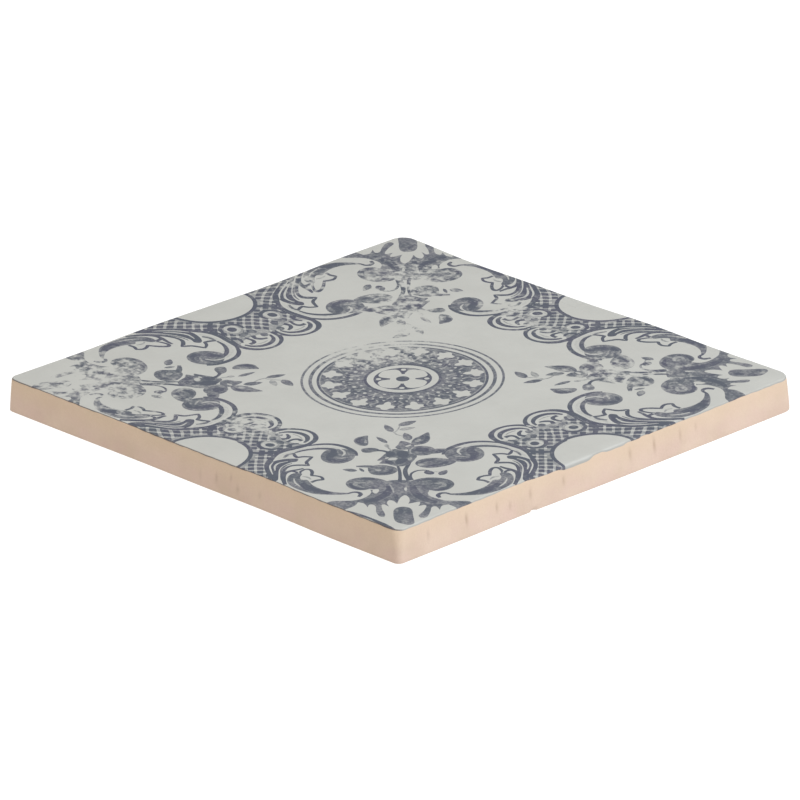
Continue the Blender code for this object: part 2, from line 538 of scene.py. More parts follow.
def band(points, *widths):
    """The outline of a brush line whose width changes evenly between the widths given."""
    widths = [width * LINE_WEIGHT for width in widths]
    line = curve(points)
    last = len(line) - 1
    widths = widths * 2 if len(widths) == 1 else widths
    left, right = [], []
    for i, (x, y) in enumerate(line):
        (ax, ay), (bx, by) = line[max(i - 1, 0)], line[min(i + 1, last)]
        length = math.hypot(bx - ax, by - ay)
        place = i / last * (len(widths) - 1)
        k = min(int(place), len(widths) - 2)
        half = (widths[k] + (widths[k + 1] - widths[k]) * (place - k)) / 2
        side_x, side_y = -(by - ay) / length * half, (bx - ax) / length * half
        left.append((x + side_x, y + side_y))
        right.append((x - side_x, y - side_y))
    return left + right[::-1]


def leaf(root, tip, width, bend=0.0):
    """A pointed leaf from root to tip, bowed sideways by bend."""
    length = math.dist(root, tip)
    ux, uy = (tip[0] - root[0]) / length, (tip[1] - root[1]) / length
    steps = max(5, round(length / POINT_STEP / 1.3))
    outline = []
    for side in (1, -1):
        for step in range(steps):
            t = step / steps if side == 1 else 1 - step / steps
            off = side * width / 2 * math.sin(math.pi * t ** 0.8) ** 0.75 + bend * math.sin(math.pi * t)
            outline.append((root[0] + ux * length * t - uy * off, root[1] + uy * length * t + ux * off))
    return outline


def disc(x, y, radius, height=None, turn=0.0):
    """A disc, or an oval of two half widths, turned."""
    height = height or radius
    count = max(8, round(2 * math.pi * max(radius, height) / POINT_STEP))
    c, s = math.cos(turn), math.sin(turn)
    outline = []
    for i in range(count):
        u, v = radius * math.cos(2 * math.pi * i / count), height * math.sin(2 * math.pi * i / count)
        outline.append((x + u * c - v * s, y + u * s + v * c))
    return outline


def diamond(x, y, half):
    return [(x + half, y), (x, y + half), (x - half, y), (x, y - half)]


def as_drawn(p, q):
    return p, q


def inker(shapes, placed=as_drawn):
    """A function that adds outlines with their density to shapes, each point where placed puts it."""
    def add(density, *outlines):
        for outline in outlines:
            shapes.append(([placed(*point) for point in outline], density))
    return add


def rosette():
    """The middle: two thin rings round a dark disc with a wreath of florets, and a four-petalled flower."""
    shapes = []
    add = inker(shapes)

    def round_about(count, first=0.0):
        """For each of a count of even turns, a function that places a point by its radius and offset."""
        for k in range(count):
            angle = math.radians(first + 360 * k / count)
            c, s = math.cos(angle), math.sin(angle)
            yield lambda r, t, c=c, s=s: (r * c - t * s, r * s + t * c)

    for radius, width in ((23.8, 0.6), (21.8, 0.85)):
        add(MID, disc(0, 0, radius + width / 2))
        add(BARE, disc(0, 0, radius - width / 2))
    add(DARK, disc(0, 0, 20.3))
    add(SOFT, disc(0, 0, 19.7))
    add(MID, disc(0, 0, 19.4))
    for at in round_about(16, 11.25):
        half = [(14.4, 0), (15.3, 0.8), (16.3, 0.9), (16.8, 2.1), (18.0, 2.3), (18.4, 1.2), (19.3, 0.6)]
        add(BARE, blob(*[at(r, t) for r, t in half], *[at(r, -t) for r, t in half[:0:-1]]))
        for r, t in ((13.2, 0.0), (12.9, 1.3), (12.9, -1.3), (14.2, 1.9), (14.2, -1.9)):
            add(DARK, disc(*at(r, t), 0.5))
        add(PALE, disc(*at(11.0, 0.0), 0.4))
    for at in round_about(16):
        add(PALE, disc(*at(12.2, 0), 0.5))
        add(PALE, disc(*at(13.9, 1.4), 0.32), disc(*at(13.9, -1.4), 0.32), disc(*at(10.4, 0), 0.35))
        add(SOFT, band([at(14.0, 0.5), at(15.6, -0.6), at(17.2, 0.5), at(18.4, -0.4)], 0.5))
        add(DARK, disc(*at(15.0, 1.2), 0.5), disc(*at(16.4, -0.9), 0.5), disc(*at(17.7, 1.0), 0.5))
        for side in (1, -1):
            add(SOFT, band([at(10.3, 1.6 * side), at(11.4, 2.1 * side), at(12.8, 1.7 * side)], 0.4))
    add(DARK, disc(0, 0, 9.2))
    add(BARE, disc(0, 0, 8.5))
    add(DARK, disc(0, 0, 6.9))
    for at in round_about(4):
        add(BARE, disc(*at(4.2, 0), 2.6), disc(*at(4.6, 1.2), 1.7), disc(*at(4.6, -1.2), 1.7))
    for at in round_about(4, 45):
        add(BARE, disc(*at(5.7, 0), 0.65))
    add(BARE, disc(0, 0, 3.0))
    add(DARK, disc(0, 0, 1.6))
    return shapes


# The lattice's lozenges: where their columns start, their pitch and how much closer their rows are, how
# many columns and rows there are at most, and how far a dark and a light lozenge reach
LATTICE_START = 43.4
LATTICE_PITCH = 1.45
LATTICE_CLOSENESS = 0.96
LATTICE_COLUMNS, LATTICE_ROWS = 19, 17
DARK_LOZENGE, LIGHT_LOZENGE = 0.98, 0.5


def in_lattice(p, t):
    """Whether a place is in the lattice: past the lobe, inside the outer band, clear of the half circle."""
    past_lobe = p >= 46.5 or t <= 1.0
    outer_band = 10.6 + max(0.0, p - 53.0) * 0.86
    return past_lobe and t <= outer_band and math.hypot(p - 65.4, t) >= 11.6


def side_middle(way):
    """Half of the cartouche at the middle of a side: its lattice, eye and lobe, and the band beside it."""
    shapes = []
    add = inker(shapes, lambda p, t: (p, t * way))

    add(SOFT, blob(
        (42.4, -0.3), (41.6, 2.0), (40.6, 5.0), (41.2, 9.0), (43.6, 11.2), (48.5, 11.2), (52.5, 11.0),
        (56.0, 11.6), (60.0, 15.4), (66.0, 22.0), (70.0, 25.0), (70.0, 12.0), (62.0, 9.5), (57.0, 5.0),
        (55.2, -0.3),
    ))
    for i in range(LATTICE_COLUMNS):
        for j in range(LATTICE_ROWS):
            p, t = LATTICE_START + LATTICE_PITCH * i, LATTICE_PITCH * j * LATTICE_CLOSENESS
            if not in_lattice(p, t):
                continue
            if (i + j) % 2 == 0:
                add(DARK, diamond(p, t, DARK_LOZENGE))
            else:
                add(BARE if (i * 7 + j * 3) % 5 else PALE, diamond(p, t, LIGHT_LOZENGE))
    add(SOFT, disc(51.0, 6.4, 2.7, 2.3))
    add(PALE, disc(51.0, 6.4, 2.1, 1.8))
    add(DARK, band(
        [(49.6, 4.0), (51.6, 3.8), (53.2, 5.2), (53.5, 7.2), (52.4, 9.0), (50.6, 9.4)],
        0.6, 1.1, 1.3, 1.3, 1.1, 0.5,
    ))
    add(DARK, disc(50.9, 6.6, 1.15))
    add(SOFT, band([(49.0, 5.4), (48.6, 6.8), (49.2, 8.2)], 0.4, 0.7, 0.4))

    add(BARE, blob(
        (43.6, 0.2), (40.8, 1.0), (38.6, 3.0), (37.7, 5.8), (38.0, 8.4), (39.4, 10.6), (41.6, 11.9),
        (43.8, 11.6), (45.4, 9.0), (45.6, 5.0),
    ))
    add(DARK, band(
        [(44.4, 0.5), (42.0, 0.7), (40.0, 1.9), (38.5, 4.0), (38.0, 6.2), (38.4, 8.4), (39.6, 10.3),
         (41.4, 11.5), (43.8, 12.0)],
        1.5, 1.4, 1.2, 1.1, 1.0, 1.2, 1.6, 1.7, 1.4,
    ))
    add(DARK, band(
        [(43.8, 1.9), (42.0, 2.6), (40.7, 4.2), (40.2, 6.2), (40.6, 8.2), (42.0, 9.8), (43.6, 10.4)],
        0.7, 1.1, 1.4, 1.5, 1.5, 1.3, 0.7,
    ))
    add(SOFT, band([(41.9, 4.6), (41.7, 6.4), (42.2, 8.2)], 0.3, 0.5, 0.3))
    add(DARK, band([(42.9, 3.6), (43.5, 5.0), (44.7, 5.8), (46.0, 5.2)], 0.7, 1.2, 1.2, 1.4))
    add(DARK, band([(43.1, 9.2), (43.2, 7.7), (44.4, 7.1), (46.4, 7.5)], 1.3, 1.2, 1.0, 0.8))
    add(DARK, band([(44.8, 9.9), (46.4, 9.1), (48.0, 9.5)], 0.6, 1.1, 0.6))
    add(MID, disc(44.6, 2.8, 0.95), disc(47.3, 3.6, 1.0, 0.8), disc(47.6, 6.2, 0.8, 1.1))

    add(DARK, band(
        [(42.8, 12.0), (45.4, 11.8), (48.0, 11.2), (51.0, 10.9), (53.4, 10.6), (55.4, 9.4), (57.0, 7.6),
         (58.4, 6.0)],
        1.3, 1.7, 1.9, 1.9, 1.8, 1.7, 1.4, 1.0,
    ))
    add(PALE, band([(46.6, 11.6), (49.0, 11.0), (51.6, 10.8)], 0.3, 0.4, 0.3))
    return shapes


def half_circle():
    """The half circle that the tile's edge cuts: its ring, a little heavier towards the tile's middle."""
    return [(disc(65.6, 0, 11.4), DARK), (disc(65.8, 0, 10.5), BARE)]


def scroll(mirrored):
    """The scroll on one side of a corner: its ball, the leaves that curl inside it, and its crescent."""
    shapes = []
    add = inker(shapes, lambda p, q: (q, p) if mirrored else (p, q))

    add(BARE, blob(
        (42.0, 13.0), (48.0, 11.8), (54.0, 12.4), (60.0, 16.5), (66.5, 23.0), (66.5, 30.0), (62.0, 25.0),
        (58.0, 28.0), (55.0, 33.0), (48.0, 33.0), (46.0, 27.0), (41.0, 25.0), (39.0, 21.0), (39.5, 16.0),
    ))
    add(PALE, blob(
        (40.4, 20.0), (40.8, 17.6), (42.4, 15.2), (45.0, 13.4), (48.5, 12.6), (52.5, 12.6), (55.5, 13.8),
        (52.0, 14.4), (48.0, 14.2), (45.2, 15.8), (43.6, 17.8), (42.0, 20.0),
    ))
    add(DARK, band(
        [(40.6, 25.6), (39.3, 24.0), (38.7, 21.8), (38.7, 19.4), (39.4, 17.0), (40.9, 14.9), (42.8, 13.4),
         (44.6, 12.5)],
        1.7, 1.7, 1.6, 1.5, 1.4, 1.3, 1.2, 0.7,
    ))
    add(DARK, band(
        [(43.2, 12.7), (46.0, 12.1), (48.4, 11.6), (50.6, 11.3), (52.8, 11.5), (55.0, 12.3), (57.4, 13.6),
         (59.8, 15.3), (61.9, 17.6), (63.7, 20.2), (65.8, 23.0)],
        0.8, 1.1, 1.4, 1.3, 1.2, 1.5, 1.8, 1.9, 1.8, 1.7, 1.7,
    ))
    add(DARK, band(
        [(41.6, 20.4), (42.0, 18.4), (43.2, 16.6), (45.0, 15.1), (47.2, 14.0), (49.6, 13.6)],
        1.5, 1.4, 1.3, 1.2, 1.0, 0.6,
    ))
    add(MID, band([(49.8, 13.8), (51.8, 13.5), (53.8, 14.3)], 0.6, 1.0, 0.6))
    add(MID, blob(
        (43.3, 18.0), (45.8, 18.7), (47.8, 20.5), (48.5, 22.7), (47.8, 25.0), (45.8, 26.6), (43.0, 26.8),
        (40.5, 25.5), (39.2, 23.4), (39.5, 21.2), (41.2, 19.3),
    ))
    add(DARK, band(
        [(42.0, 18.8), (43.4, 20.4), (45.4, 21.2), (46.8, 22.8), (46.4, 24.8), (44.6, 25.8)],
        1.2, 2.4, 2.4, 1.8, 1.4, 0.6,
    ))
    add(PALE, band([(40.6, 19.9), (40.8, 21.4), (41.8, 22.7), (43.4, 23.3)], 0.5, 0.8, 0.7, 0.3))
    add(SOFT, band([(42.6, 24.9), (44.0, 24.2), (45.2, 23.4)], 0.3, 0.8, 0.3))

    add(DARK, blob(
        (51.8, 17.0), (52.4, 15.9), (54.0, 14.9), (56.4, 14.3), (58.6, 14.8), (60.4, 16.2), (61.8, 18.2),
        (63.4, 20.6), (65.4, 22.8), (64.2, 23.0), (62.2, 21.1), (60.4, 19.3), (58.4, 18.0), (56.4, 17.4),
        (54.4, 17.3), (53.0, 17.8),
    ))
    add(PALE, band([(54.4, 16.3), (56.8, 15.8), (59.0, 16.7), (60.8, 18.5)], 0.3, 0.6, 0.6, 0.3))
    add(BARE, band([(57.4, 14.6), (59.6, 15.8), (61.4, 17.8), (62.8, 19.8)], 0.2, 0.5, 0.5, 0.2))
    add(DARK, band(
        [(50.0, 13.6), (50.9, 14.9), (51.3, 16.1), (51.3, 16.1), (49.8, 16.9), (48.7, 18.4), (48.7, 18.4),
         (50.2, 19.0), (51.8, 19.8), (52.8, 21.5), (52.8, 21.5), (53.8, 20.3), (55.2, 19.1), (57.0, 18.9),
         (59.2, 19.8), (61.4, 21.6), (63.6, 24.0)],
        0.7, 1.1, 1.0, 0.9, 0.9, 1.0, 1.1, 1.1, 1.0, 0.9, 1.1, 1.3, 1.2, 0.9,
    ))
    add(MID, band([(54.6, 17.9), (56.6, 17.9), (58.8, 18.8), (61.0, 20.6)], 0.3, 0.6, 0.7, 0.4))
    add(DARK, band(
        [(55.0, 22.1), (56.6, 21.8), (58.3, 21.3), (60.2, 21.3), (62.0, 22.5), (63.6, 24.4),
         (64.8, 26.2)],
        0.7, 1.0, 1.2, 1.4, 1.4, 1.2, 1.0,
    ))
    add(DARK, band(
        [(58.3, 21.4), (58.0, 22.6), (58.3, 23.9), (58.3, 23.9), (56.8, 23.1), (55.2, 22.9), (54.5, 23.8),
         (55.2, 25.2), (56.4, 26.3), (57.0, 26.8), (57.0, 26.8), (56.3, 28.0), (56.1, 29.4), (56.9, 30.6),
         (56.9, 30.6), (58.3, 29.8), (60.0, 29.8)],
        1.0, 1.0, 0.8, 0.9, 1.1, 1.0, 0.9, 1.0, 1.0, 1.0,
    ))
    add(SOFT, band([(59.0, 25.6), (58.4, 27.0), (58.8, 28.4)], 0.4, 0.8, 0.4))

    add(MID, blob(
        (57.8, 24.4), (58.6, 23.0), (60.2, 22.9), (62.0, 23.9), (63.6, 25.6), (64.5, 28.0), (64.7, 30.8),
        (64.4, 33.6), (63.6, 36.0), (62.2, 38.0), (60.6, 39.7), (59.0, 40.9), (57.6, 41.2), (58.8, 39.9),
        (60.0, 38.2), (60.8, 36.2), (61.1, 33.8), (60.9, 31.4), (60.2, 29.6), (59.6, 28.0), (60.4, 27.0),
        (59.6, 25.6),
    ))
    add(PALE, band([(61.2, 25.2), (62.6, 27.2), (63.3, 29.6)], 0.3, 0.6, 0.3))
    add(DARK, band([(61.9, 28.4), (62.6, 31.6), (62.5, 34.4), (61.4, 37.4)], 1.4, 2.6, 2.6, 1.6))
    add(DARK, band(
        [(58.8, 40.7), (57.3, 41.0), (56.5, 42.0), (56.9, 43.2), (58.3, 43.8)],
        0.6, 0.9, 1.2, 1.3, 0.9,
    ))

    add(MID, blob(
        (46.2, 42.4), (46.4, 39.8), (47.6, 37.5), (49.6, 36.0), (52.2, 35.3), (54.6, 36.1), (55.9, 38.2),
        (55.8, 40.4), (54.7, 41.9), (53.0, 42.7), (51.0, 45.0), (47.0, 45.0),
    ))
    add(DARK, band([(47.4, 40.4), (48.4, 38.2), (50.2, 36.9)], 0.6, 1.4, 0.6))
    add(SOFT, band([(50.8, 39.2), (52.4, 37.8), (53.6, 38.4), (53.4, 40.0)], 0.5, 1.3, 1.3, 0.6))
    add(DARK, band([(53.9, 36.9), (55.1, 38.8), (54.6, 40.9), (53.0, 42.2)], 0.6, 1.2, 1.2, 0.7))
    return shapes


def corner():
    """The dark heart of a corner: a spread of feathered leaves behind a pale palmette."""
    shapes = []
    add = inker(shapes)

    add(MID, blob(
        (43.6, 43.6), (46.2, 42.0), (50.6, 42.6), (53.0, 42.6), (54.3, 44.1), (56.2, 44.8), (58.6, 44.5),
        (60.8, 43.8), (62.6, 42.2), (64.6, 40.3), (68.6, 38.2), (68.6, 38.2), (68.6, 44.4), (68.6, 44.4),
        (65.2, 44.8), (62.6, 45.0), (62.6, 45.0), (62.1, 46.6), (63.4, 48.5), (63.4, 48.5), (61.4, 47.8),
        (61.0, 48.8), (62.6, 50.8), (64.0, 53.2), (63.6, 54.5), (62.2, 54.1), (61.2, 51.6), (59.8, 49.4),
        (58.9, 49.0), (58.2, 50.5), (58.2, 50.5), (57.6, 49.4), (56.7, 48.7), (56.1, 49.7), (55.6, 51.4),
        (55.6, 51.4), (54.5, 50.0), (52.8, 48.9), (51.2, 48.8), (51.4, 50.4), (52.4, 52.0), (53.6, 53.4),
        (53.6, 53.4), (51.8, 53.2), (50.6, 53.9), (51.3, 55.2), (53.4, 55.9), (53.4, 55.9), (51.6, 56.2),
        (51.4, 57.0), (53.4, 58.0), (55.6, 58.8), (56.9, 59.9), (56.0, 60.7), (53.6, 60.0), (51.4, 58.8),
        (49.8, 58.6), (49.0, 59.4), (50.0, 60.6), (50.0, 60.6), (47.6, 60.0), (46.0, 60.6), (46.0, 60.6),
        (47.0, 63.0), (46.2, 68.6), (46.2, 68.6), (40.6, 68.6), (40.6, 68.6), (41.0, 64.6), (42.8, 62.6),
        (44.4, 60.8), (45.2, 58.6), (45.0, 56.2), (44.2, 54.4), (43.0, 53.4), (43.0, 53.4), (44.6, 51.0),
        (43.0, 50.6), (42.2, 46.4),
    ))
    add(DARK, band(
        [(48.0, 43.4), (50.4, 45.2), (53.4, 46.4), (57.0, 46.8), (60.0, 46.2)],
        1.4, 2.4, 2.6, 2.4, 1.2,
    ))
    add(DARK, band(
        [(44.4, 48.2), (46.4, 50.2), (47.6, 53.2), (47.8, 56.8), (46.8, 59.4)],
        1.4, 2.4, 2.6, 2.4, 1.2,
    ))
    add(DARK, band([(49.0, 50.6), (51.0, 51.6), (52.4, 52.6)], 1.4, 1.4, 0.5))
    add(BARE, blob((43.9, 51.7), (44.9, 52.3), (45.5, 54.0), (44.4, 54.0), (43.4, 52.8)))
    add(PALE, band([(47.9, 45.6), (48.8, 46.4), (49.5, 47.0)], 0.5, 1.0, 0.4))
    add(SOFT, band([(44.2, 47.4), (46.6, 49.0), (48.4, 50.4)], 0.3, 0.7, 0.3))
    add(MID, blob(
        (55.3, 54.6), (56.0, 53.2), (57.6, 52.6), (59.4, 53.4), (61.2, 54.9), (63.0, 56.3), (64.6, 57.8),
        (64.2, 59.2), (62.2, 60.0), (60.4, 59.8), (58.6, 58.6), (56.9, 57.2), (55.7, 56.0),
    ))
    add(DARK, band([(56.4, 54.6), (57.6, 55.4), (58.4, 56.8)], 1.0, 1.8, 0.9))
    return shapes


def spray():
    """The spray that points at the rosette: stems, leaves, buds and two open flowers."""
    shapes = []
    add = inker(shapes)

    add(DARK, band(
        [(33.6, 30.4), (36.6, 32.6), (38.8, 35.2), (40.4, 37.7), (42.5, 39.8), (45.6, 42.0)],
        1.0, 1.2, 1.1, 1.2, 1.4, 1.5,
    ))
    add(DARK, band([(37.0, 37.0), (39.6, 38.9), (42.0, 41.2), (44.6, 44.2)], 0.6, 0.9, 1.0, 1.2))
    add(DARK, band(
        [(46.0, 41.3), (44.2, 40.0), (43.0, 38.4), (42.8, 36.6), (43.6, 35.2), (44.8, 34.6)],
        0.7, 0.7, 0.7, 0.6,
    ))
    add(DARK, disc(45.6, 35.4, 1.3, 1.05))
    add(SOFT, band([(46.0, 34.3), (47.4, 33.4)], 0.5))
    add(MID, leaf((48.4, 34.9), (47.5, 31.6), 1.9))

    add(MID, blob(
        (39.9, 28.8), (41.5, 27.6), (43.6, 26.8), (45.4, 26.6), (45.9, 28.6), (45.2, 31.2), (43.8, 33.2),
        (42.0, 34.2), (40.0, 34.0), (38.8, 32.6), (38.8, 30.6),
    ))
    add(DARK, band([(41.0, 28.9), (40.0, 30.8), (40.2, 32.8)], 0.8, 1.5, 0.8))
    add(DARK, band([(44.4, 28.2), (43.8, 30.6), (42.6, 32.6)], 0.6, 1.3, 0.6))
    add(SOFT, disc(40.9, 33.3, 0.8, 0.6))
    add(MID, blob(
        (33.6, 40.4), (35.6, 38.9), (37.8, 38.4), (39.6, 39.5), (40.1, 41.6), (39.3, 43.8), (37.6, 45.2),
        (35.9, 45.2), (34.2, 44.0), (33.1, 42.6),
    ))
    add(DARK, band([(38.0, 39.6), (38.8, 41.6), (37.8, 43.8)], 0.7, 1.3, 0.7))
    add(SOFT, disc(36.0, 42.4, 0.9, 0.7))
    add(MID, band([(34.0, 41.8), (32.2, 43.0), (30.6, 44.7)], 2.2, 1.6, 0.9))
    add(MID, leaf((34.4, 45.7), (31.8, 44.7), 1.0), leaf((32.8, 46.4), (29.4, 48.6), 1.9))

    add(MID, disc(35.0, 27.4, 3.2, 2.9, -0.5))
    add(MID, blob((36.4, 25.0), (37.4, 23.6), (38.6, 23.0), (39.4, 24.4), (39.0, 26.0), (37.6, 27.2)))
    add(MID, blob(
        (27.3, 26.6), (29.4, 26.0), (31.6, 26.4), (32.4, 28.4), (31.0, 30.2), (29.2, 30.2), (28.4, 28.6),
    ))
    add(MID, blob(
        (29.7, 31.0), (31.4, 30.2), (34.0, 29.6), (36.4, 30.2), (37.7, 32.2), (38.8, 35.2), (38.2, 37.2),
        (36.4, 38.0), (34.8, 38.4), (33.4, 39.4), (32.6, 37.6), (31.8, 38.6), (31.0, 36.6), (30.2, 34.6),
        (29.6, 32.8),
    ))
    add(DARK, disc(34.6, 26.9, 1.6, 1.3, -0.5), disc(38.3, 24.8, 0.9, 1.1), disc(33.4, 31.8, 2.2, 1.4, 0.6))
    add(DARK, disc(36.0, 34.8, 1.2, 1.9, -0.3), disc(31.4, 33.8, 1.0, 1.5, -0.4), disc(34.6, 37.2, 1.3, 0.8))
    add(PALE, disc(33.7, 35.3, 0.75, 1.15, 0.5), disc(32.3, 35.9, 0.4, 0.6), disc(30.6, 27.4, 0.4, 0.9))
    add(SOFT, band([(32.2, 27.4), (33.0, 29.2), (34.6, 30.2)], 0.4, 0.5, 0.4))
    add(SOFT, disc(36.6, 32.6, 0.5, 0.9, -0.6))

    add(MID, blob(
        (28.0, 18.7), (30.2, 20.2), (31.6, 21.6), (32.4, 23.4), (32.0, 25.3), (31.1, 26.3), (29.7, 25.6),
        (28.5, 23.6), (28.3, 21.4),
    ))
    add(DARK, band([(29.4, 20.4), (31.0, 22.0), (31.4, 24.4)], 0.7, 1.3, 0.8))
    add(SOFT, disc(29.9, 23.8, 0.6, 1.0, -0.3))
    add(MID, leaf((28.4, 25.1), (24.3, 22.7), 2.2, 0.1))
    add(MID, leaf((21.9, 24.3), (17.3, 22.4), 1.9))
    add(MID, leaf((20.1, 20.7), (21.0, 15.8), 2.3))
    add(SOFT, leaf((22.1, 22.4), (23.7, 18.6), 1.7))
    add(SOFT, band([(25.4, 24.4), (23.6, 24.6), (21.8, 24.0)], 0.5))
    add(SOFT, band([(22.4, 24.0), (21.6, 22.2), (20.3, 20.4)], 0.45))
    add(MID, leaf((25.9, 29.7), (21.2, 28.8), 1.4))
    add(SOFT, disc(27.0, 30.9, 0.9, 0.6, 0.6), band([(27.6, 31.2), (29.0, 31.8), (30.2, 32.2)], 0.6))
    add(MID, blob(
        (19.2, 29.7), (20.6, 31.0), (22.4, 32.6), (23.4, 34.2), (22.2, 35.2), (20.6, 35.2), (18.9, 34.2),
        (18.2, 32.4), (18.6, 31.0),
    ))
    add(DARK, band([(19.2, 31.4), (19.4, 33.2), (21.2, 34.6)], 0.8, 1.6, 0.8))
    add(SOFT, band([(20.6, 31.8), (22.0, 33.2)], 0.4, 0.9))
    add(MID, blob(
        (27.9, 34.0), (26.2, 33.7), (24.6, 34.9), (23.9, 36.6), (25.4, 37.7), (26.8, 36.8), (27.4, 35.4),
    ))
    add(DARK, band([(30.6, 33.4), (28.8, 33.5), (27.2, 34.4)], 1.2, 1.0, 1.1))
    return shapes


# Where the print's landmarks are, and how far each quadrant's own lie from there: on its first half, on
# its second, and at its corner's core. Pins stay where they are.
LANDMARKS = {
    "lobe": (38.5, 5.5), "tangent": (55.0, 0.0), "ball": (44.3, 22.3),
    "shell": (51.2, 39.8), "crescent": (62.5, 32.0), "hook": (57.0, 42.5),
}
PULLS = (
    dict(
        first=dict(
            lobe=(0.3, -0.5), tangent=(0, 0), ball=(-0.1, -1.1),
            shell=(0.6, -0.9), crescent=(0, 0), hook=(-0.4, -0.2),
        ),
        second=dict(
            lobe=(-0.8, 1.5), tangent=(-2.3, 0), ball=(-1.6, 1.0),
            shell=(-1.7, 0), crescent=(-2.6, 0.5), hook=(-3.0, 0.7),
        ),
        core=(0, -0.3),
    ),
    dict(
        first=dict(
            lobe=(-0.3, -2.0), tangent=(-0.5, 0), ball=(0, -0.9),
            shell=(0.6, -0.9), crescent=(0.4, 1.0), hook=(0.6, 0),
        ),
        second=dict(
            lobe=(-0.4, -0.6), tangent=(-0.4, 0), ball=(-0.9, 1.0),
            shell=(-0.2, 1.0), crescent=(0.6, 2.0), hook=(-0.5, 2.0),
        ),
        core=(-2.0, 0),
    ),
    dict(
        first=dict(
            lobe=(-0.4, -1.6), tangent=(2.9, 0), ball=(0.3, -1.5),
            shell=(3.6, 1.5), crescent=(4.2, 4.5), hook=(3.4, 3.2),
        ),
        second=dict(
            lobe=(-0.6, 1.5), tangent=(-0.3, 0), ball=(-1.3, 1.5),
            shell=(1.8, 2.5), crescent=(0, 3.0), hook=(1.5, 3.5),
        ),
        core=(4.0, 4.5),
    ),
    dict(
        first=dict(
            lobe=(-1.1, -1.2), tangent=(-2.6, 0), ball=(-1.0, 0.9),
            shell=(-1.7, 1.5), crescent=(-2.4, 4.0), hook=(-0.6, 3.5),
        ),
        second=dict(
            lobe=(-0.6, 1.2), tangent=(2.9, 0), ball=(0.2, 0.7),
            shell=(2.3, -0.5), crescent=(3.6, 1.0), hook=(4.2, -1.5),
        ),
        core=(0, 1.0),
    ),
)
PINS = ((0, 0), (20, 0), (0, 20), (22, 20), (30, 22), (20, 32), (34, 28), (42, 31), (33, 36), (37, 41.6))
CORE = (60, 57)

# How far a landmark's pull reaches, and the weight that even a far one keeps
PULL_REACH = 6.0
FAR_WEIGHT = 1e-6

# The print is a little narrower than it is long, and lies off the tile's centre. The rosette lies a little
# off the rest, and a line of ink runs along the near edge beside the near corner.
STRETCH_X, STRETCH_Y, SHIFT_X, SHIFT_Y = 0.967, 1.033, 1.25, -0.40
ROSETTE_SHIFT = (-0.25, 0.25)
NEAR_LINE = ((47.0, 63.4), (50.0, 62.7), (55.0, 62.3), (60.0, 62.5), (64.5, 62.9))
NEAR_LINE_WIDTHS = (0.6, 1.0, 0.8, 1.3, 0.6)


def quadrant_pull(k):
    """Moves a point of the print to where a quadrant has it."""
    marks = [(*CORE, *PULLS[k]["core"]), *((p, q, 0, 0) for p, q in PINS)]
    for name, (p, q) in LANDMARKS.items():
        marks.append((p, q, *PULLS[k]["first"][name]))
        marks.append((q, p, *PULLS[k]["second"][name][::-1]))

    def pulled(p, q):
        total = pull_p = pull_q = 0.0
        for mark_p, mark_q, move_p, move_q in marks:
            off = (p - mark_p) ** 2 + (q - mark_q) ** 2
            weight = math.exp(-off / (2 * PULL_REACH ** 2)) + FAR_WEIGHT
            total += weight
            pull_p += weight * move_p
            pull_q += weight * move_q
        return p + pull_p / total, q + pull_q / total
    return pulled


def quarter_turned(k, p, q):
    """From a quadrant's own place to the tile's."""
    for _ in range(k):
        p, q = q, -p
    return p * STRETCH_X + SHIFT_X, -q * STRETCH_Y + SHIFT_Y


def printed_shapes():
    """The whole print, undermost shapes first."""
    pulls = [quadrant_pull(k) for k in range(4)]
    shapes = []
    for k in range(4):
        def beside_middle(p, t, k=k):
            if t >= 0:
                return quarter_turned(k, *pulls[k](p, t))
            across, out = pulls[(k + 1) % 4](-t, p)
            return quarter_turned(k, out, -across)
        for outline, density in side_middle(1) + side_middle(-1) + half_circle():
            shapes.append(([beside_middle(p, t) for p, t in outline], density))
    for k in range(4):
        for outline, density in scroll(False) + scroll(True) + corner() + spray():
            shapes.append(([quarter_turned(k, *pulls[k](p, q)) for p, q in outline], density))
    near_line = band(NEAR_LINE, *NEAR_LINE_WIDTHS)
    shapes.append(([quarter_turned(0, p, q) for p, q in near_line], DARK))
    shift_p, shift_q = ROSETTE_SHIFT
    for outline, density in rosette():
        shapes.append(([quarter_turned(0, p + shift_p, q + shift_q) for p, q in outline], density))
    return shapes


# Glaze coat. A pale grey glaze poured over the face and fused on: it rolls over the arris, stops in an
# uneven line at the top of the sides, and carries the slate print under its skin, worn thin in places.
GLAZE_PROUD = 0.00005
GLAZE_LIP = 0.00025
GLAZE_ROOT = 0.0004
GLAZE_BACK = 0.0009
COAT_SHARP_ANGLE = math.radians(60)

# How finely the coat is meshed: round its edge, down the roll, and over the face between the print's
# outlines. Points closer than the weld become one, and the print ends a little past the true square.
COAT_SIDE_STEPS = 260
COAT_CORNER_STEPS = 12
ROLL_RINGS = 8
GRID_STEP = 0.0013
GRID_STAGGER = 0.25
SHEET_WELD = 0.000003
PRINT_REACH = 0.003

# How far past the start of the roll the glaze runs on each side, the waves of that line as their height
# and how many there are to a side, and how far each side's waves are from those of the side before
RUN_DOWN = (0.00046, 0.00062, 0.00060, 0.00055)
RUN_WAVES = ((0.00006, 2.0), (0.00005, 5.3), (0.00003, 13.0), (0.00003, 31.0))
WAVE_OFFSET = 0.37
LEAST_SHARE = 0.001

